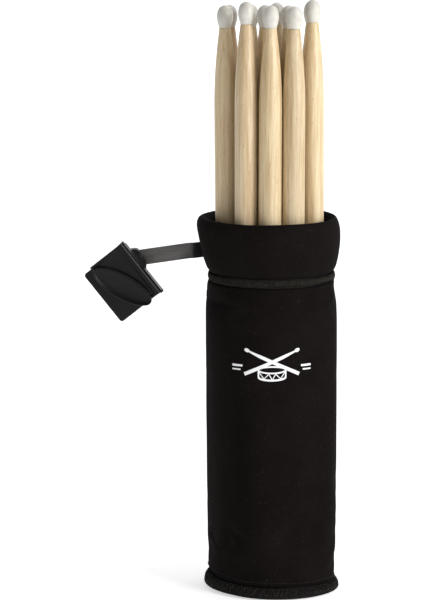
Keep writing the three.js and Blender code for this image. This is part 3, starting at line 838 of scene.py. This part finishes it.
def strands(name, paths, radius, look):
    """Many short threads in one mesh: a closed round tube along each path (points in mm)."""
    sides = 5
    verts, faces = [], []
    for path in paths:
        start = len(verts)
        for i, point in enumerate(path):
            ahead = path[min(i + 1, len(path) - 1)]
            behind = path[max(i - 1, 0)]
            along = (ahead - behind).normalized()
            side = along.orthogonal() if abs(along.z) > 0.9 else along.cross(Vector((0, 0, 1)))
            side.normalize()
            up = along.cross(side)
            thick = radius * (0.45 if i in (0, len(path) - 1) else 1)
            for k in range(sides):
                angle = 2 * math.pi * k / sides
                verts.append((point + thick * (math.cos(angle) * side + math.sin(angle) * up)) * MM)
        for i in range(len(path) - 1):
            for k in range(sides):
                m = (k + 1) % sides
                a, b = start + i * sides, start + (i + 1) * sides
                faces.append((a + k, b + k, b + m, a + m))
        faces.append(tuple(start + k for k in range(sides)))
        faces.append(tuple(start + (len(path) - 1) * sides + k for k in reversed(range(sides))))
    add_mesh(name, verts, faces, LOOKS[look], "bag")


def wraps(name, outline, count, slant, lift, radius, look, jitter=0.25, place=None):
    """Overlock threads over a bound edge. outline is the (height, radius) arc that each one follows."""
    rng = random.Random(name)
    paths = []
    for n in range(count):
        start = 2 * math.pi * (n + rng.uniform(-jitter, jitter)) / count
        path = []
        for i, (height, reach) in enumerate(outline):
            angle = start + slant * (i / (len(outline) - 1) - 0.5)
            if place:
                reach, height = place(angle, reach, height)
            path.append(Vector(((reach + lift) * math.cos(angle), (reach + lift) * math.sin(angle), height)))
        paths.append(path)
    strands(name, paths, radius, look)


sleeve = make_sleeve()
make_collar()

# The bound edges' outlines: height and radius of each row, mm.
FOOT_ROWS = [
    (0.15, 43.2), (0.15, 46.3), (0.6, 46.9), (2.4, 47.1), (4.7, 46.7), (6.7, 45.8), (7.9, 44.8), (8.3, 43.9),
    (8.0, 42.7), (6.0, 42.4), (3.8, 42.4), (3.4, 42.9), (1.6, 42.9),
]


def foot_place(angle, radius, height):
    """Where a point of the foot's outline lies once the foot has sagged: radius and height, mm."""
    outer = smoothstep(42.5, 46, radius)
    lowest = 0.15
    return radius + outer * foot_bulge(angle), max(lowest, height + foot_shift(angle, height))


make_roll("base_roll", FOOT_ROWS, 110, 0.35, "base_tape", "base_binding", foot_place)
BAND_ROWS = [
    (220.5, 42.5), (220.3, 43.4), (221.0, 44.0), (222.4, 44.35), (224.0, 44.35), (225.4, 44.0), (226.1, 43.4),
    (226.0, 42.5),
]
make_roll("collar_band", BAND_ROWS, 110, 0.22, "binding_tape", "collar_binding")

# Overlocked edges: threads wrapped over each bound edge, and a run of stitches along the pouch's foot.
wraps("collar_overlock", [(226.1, 43.3), (225.4, 44.0), (224.0, 44.4), (222.4, 44.4), (221.0, 44.0),
                          (220.3, 43.3)], 330, 0.035, 0.12, 0.3, "binding_tape")
wraps("foot_overlock", [(8.4, 44.1), (7.8, 45.1), (6.0, 46.3), (3.6, 46.9), (1.6, 47.0), (0.5, 46.4)],
      190, 0.06, 0.12, 0.27, "thread", 0.45, foot_place)
# These crossing threads use the paler copy of the black thread, a painted highlight.
wraps("foot_overlock_back", [(8.5, 44.0), (7.2, 45.6), (4.9, 46.6), (2.6, 47.0)], 95, -0.075, 0.2, 0.24,
      "painted_lit_thread", 0.6, foot_place)


def surface_of(piece):
    """A piece's mesh as a tree that rays can be cast at."""
    mesh = piece.data
    return BVHTree.FromPolygons([v.co for v in mesh.vertices], [p.vertices for p in mesh.polygons])


sleeve_surface = surface_of(sleeve)
WELL_OUTSIDE = 0.08  # metres from the axis, clear of the pouch


def on_sleeve(angle, height, lift):
    """A point in mm on the pouch's outside, that far off the cloth."""
    outward = Vector((math.cos(angle), math.sin(angle), 0))
    start = outward * WELL_OUTSIDE + Vector((0, 0, height * MM))
    spot, normal = sleeve_surface.ray_cast(start, -outward)[:2]
    return spot / MM + normal * lift


def stitch_run(name, angle_at, height_at, count, reach, radius, look):
    """A run of short stitches on the pouch; angle_at and height_at place t from 0 to 1."""
    paths = []
    for n in range(count):
        path = []
        for part, lift in ((0.0, -0.1), (0.15, 0.2), (0.5, 0.32), (0.85, 0.2), (1.0, -0.1)):
            t = (n + 0.5 + reach * (part - 0.5)) / count
            path.append(on_sleeve(angle_at(t), height_at(t), lift))
        paths.append(path)
    strands(name, paths, radius, look)


def foot_line(t):
    """Height of the foot's run of stitches, before the foot sags; t goes once round."""
    return 12.4 + 0.25 * math.sin(14 * math.pi * t)


stitch_run("foot_stitches", lambda t: 2 * math.pi * t,
           lambda t: foot_line(t) + foot_shift(2 * math.pi * t, 12.4), 96, 0.72, 0.26, "thread")

SEAM_ANGLE = math.radians(88)
SEAM_HALF_WIDTH = 0.05  # radians
SEAM_BOTTOM = 14
SEAM_PITCH = 1.36
SEAM_STITCHES = 150
STITCH_PARTS = 4


def make_back_seam():
    """The back seam closes the sheet into a tube: a zigzag of thread over the butted edges."""
    paths = []
    for n in range(SEAM_STITCHES):
        side = 1 if n % 2 else -1
        path = []
        for k in range(STITCH_PARTS + 1):
            t = k / STITCH_PARTS
            angle = SEAM_ANGLE + side * SEAM_HALF_WIDTH * (2 * t - 1)
            height = SEAM_BOTTOM + (n + t) * SEAM_PITCH
            path.append(on_sleeve(angle, height, 0.12 + 0.16 * math.sin(math.pi * t)))
        paths.append(path)
    strands("back_seam", paths, 0.24, "thread")


make_back_seam()


# ---------------------------------------------------------------- print
PRINT_ANGLE = math.radians(-90)
PRINT_HEIGHT = 168.5
PRINT_RADIUS = 45.5  # the pouch's, where the print lies


class Print:
    """Flat ink shapes in mm (across, up), laid on the front of the pouch."""

    def __init__(self):
        self.points = []
        self.faces = []

    def point(self, across, up):
        self.points.append((across, up))
        return len(self.points) - 1

    def stroke(self, path, width, closed=False):
        """A line of ink; width is one number or one for each point."""
        step = 0.8
        widths = width if isinstance(width, (list, tuple)) else [width] * len(path)
        run = []
        count = len(path) if closed else len(path) - 1
        for i in range(count):
            a, b = Vector(path[i]), Vector(path[(i + 1) % len(path)])
            wa, wb = widths[i], widths[(i + 1) % len(path)]
            parts = max(1, math.ceil((b - a).length / step))
            for k in range(parts):
                t = k / parts
                run.append((a.lerp(b, t), wa + (wb - wa) * t))
        if not closed:
            run.append((Vector(path[-1]), widths[-1]))
        rows = []
        for i, (spot, wide) in enumerate(run):
            ahead = run[(i + 1) % len(run)][0] if closed or i + 1 < len(run) else spot
            behind = run[i - 1][0] if closed or i else spot
            way = (ahead - behind).normalized()
            side = Vector((-way.y, way.x)) * wide / 2
            rows.append([self.point(*(spot + side * f)) for f in (-1, 0, 1)])
        for i in range(len(rows) if closed else len(rows) - 1):
            a, b = rows[i], rows[(i + 1) % len(rows)]
            for k in (0, 1):
                self.faces.append((a[k], b[k], b[k + 1], a[k + 1]))

    def oval(self, middle, wide, tall, turn):
        """A filled oval, turned by turn radians."""
        rings, steps = 3, 20
        centre = self.point(*middle)
        last = None
        for ring in range(1, rings + 1):
            row = []
            for j in range(steps):
                angle = 2 * math.pi * j / steps
                spot = Vector((wide / 2 * math.cos(angle), tall / 2 * math.sin(angle))) * ring / rings
                spot.rotate(Matrix.Rotation(turn, 2))
                row.append(self.point(middle[0] + spot.x, middle[1] + spot.y))
            for j in range(steps):
                k = (j + 1) % steps
                if last:
                    self.faces.append((last[j], row[j], row[k], last[k]))
                else:
                    self.faces.append((centre, row[j], row[k]))
            last = row

    def lay(self, name, lift, thick):
        """Puts the ink on the pouch as a thin closed layer, thick mm deep and lift mm off the cloth."""
        spots = [(PRINT_ANGLE + across / PRINT_RADIUS, PRINT_HEIGHT + up) for across, up in self.points]
        upper = [on_sleeve(angle, height, lift + thick) for angle, height in spots]
        lower = [on_sleeve(angle, height, lift) for angle, height in spots]
        count = len(upper)
        faces = list(self.faces) + [tuple(count + k for k in reversed(f)) for f in self.faces]
        edges = [pair for face in self.faces for pair in zip(face, face[1:] + face[:1])]
        known = set(edges)
        faces += [(b, a, count + a, count + b) for a, b in edges if (b, a) not in known]
        add_mesh(name, [p * MM for p in upper + lower], faces, LOOKS["print_ink"], "bag", False)


def crossed_sticks_print():
    """Two crossed drum sticks over a drum, between short rules."""
    ink = Print()
    for side in (-1, 1):
        foot, tip = Vector((-side * 19.5, -8.4)), Vector((side * 19.5, 9.2))
        neck = foot.lerp(tip, 0.92)
        ink.stroke([foot, foot.lerp(tip, 0.7), neck], [2.5, 2.3, 1.1])
        ink.oval(foot.lerp(tip, 0.955), 4.0, 2.6, math.atan2(tip.y - foot.y, tip.x - foot.x))
        ink.stroke([(side * 21, -2.6), (side * 29, -2.6)], 1.5)
        ink.stroke([(side * 22.4, -5.4), (side * 29, -5.4)], 1.0)
    ink.stroke([(9.5 * math.cos(a), 2.3 * math.sin(a) - 5.2) for a in (k * math.pi / 14 for k in range(28))],
               1.1, closed=True)
    ink.stroke([(-9.5, -5.2), (-9.5, -10.2)], 1.1)
    ink.stroke([(9.5, -5.2), (9.5, -10.2)], 1.1)
    ink.stroke([(9.5 * math.cos(a), 2.3 * math.sin(a) - 10.2)
                for a in (math.pi + k * math.pi / 14 for k in range(15))], 1.4)
    ink.stroke(
        [(-9.2, -6.4), (-5.8, -11.4), (-2.4, -8.0), (0, -12.2), (2.4, -8.0), (5.8, -11.4), (9.2, -6.4)], 0.6)
    ink.lay("front_print", 0.02, 0.09)


crossed_sticks_print()
